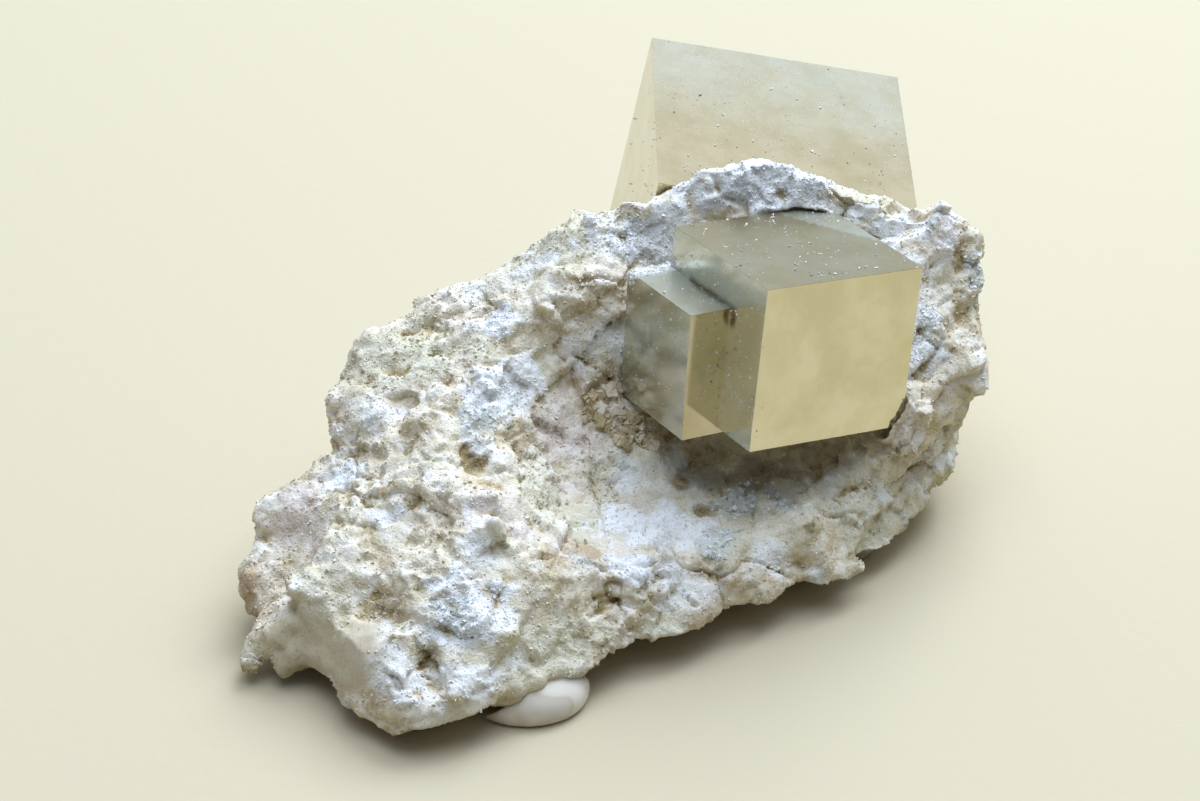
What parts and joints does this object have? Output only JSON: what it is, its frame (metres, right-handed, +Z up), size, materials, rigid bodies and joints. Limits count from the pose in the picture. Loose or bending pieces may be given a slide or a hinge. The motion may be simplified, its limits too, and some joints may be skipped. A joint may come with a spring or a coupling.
{
  "type": "pyrite specimen",
  "caption": "Pale rough marl matrix lying on a flat base, with sharp brassy pyrite cubes standing out of its front and back; a display mineral.",
  "frame": {"origin": "middle of the specimen's footprint, on the surface that it lies on", "axes": "+Z up; the show face, with the smaller crystals, looks towards -Y; the large crystal stands out towards +Y"},
  "size_m": [0.073, 0.0818, 0.0341],
  "materials": {
    "marl": "matte",
    "pyrite": "polished",
    "putty": "matte"
  },
  "bodies": {
    "root": {"matrix": "marl", "front_crystals": "pyrite", "back_crystal": "pyrite", "putty_foot": "putty"}
  },
  "joints": []
}
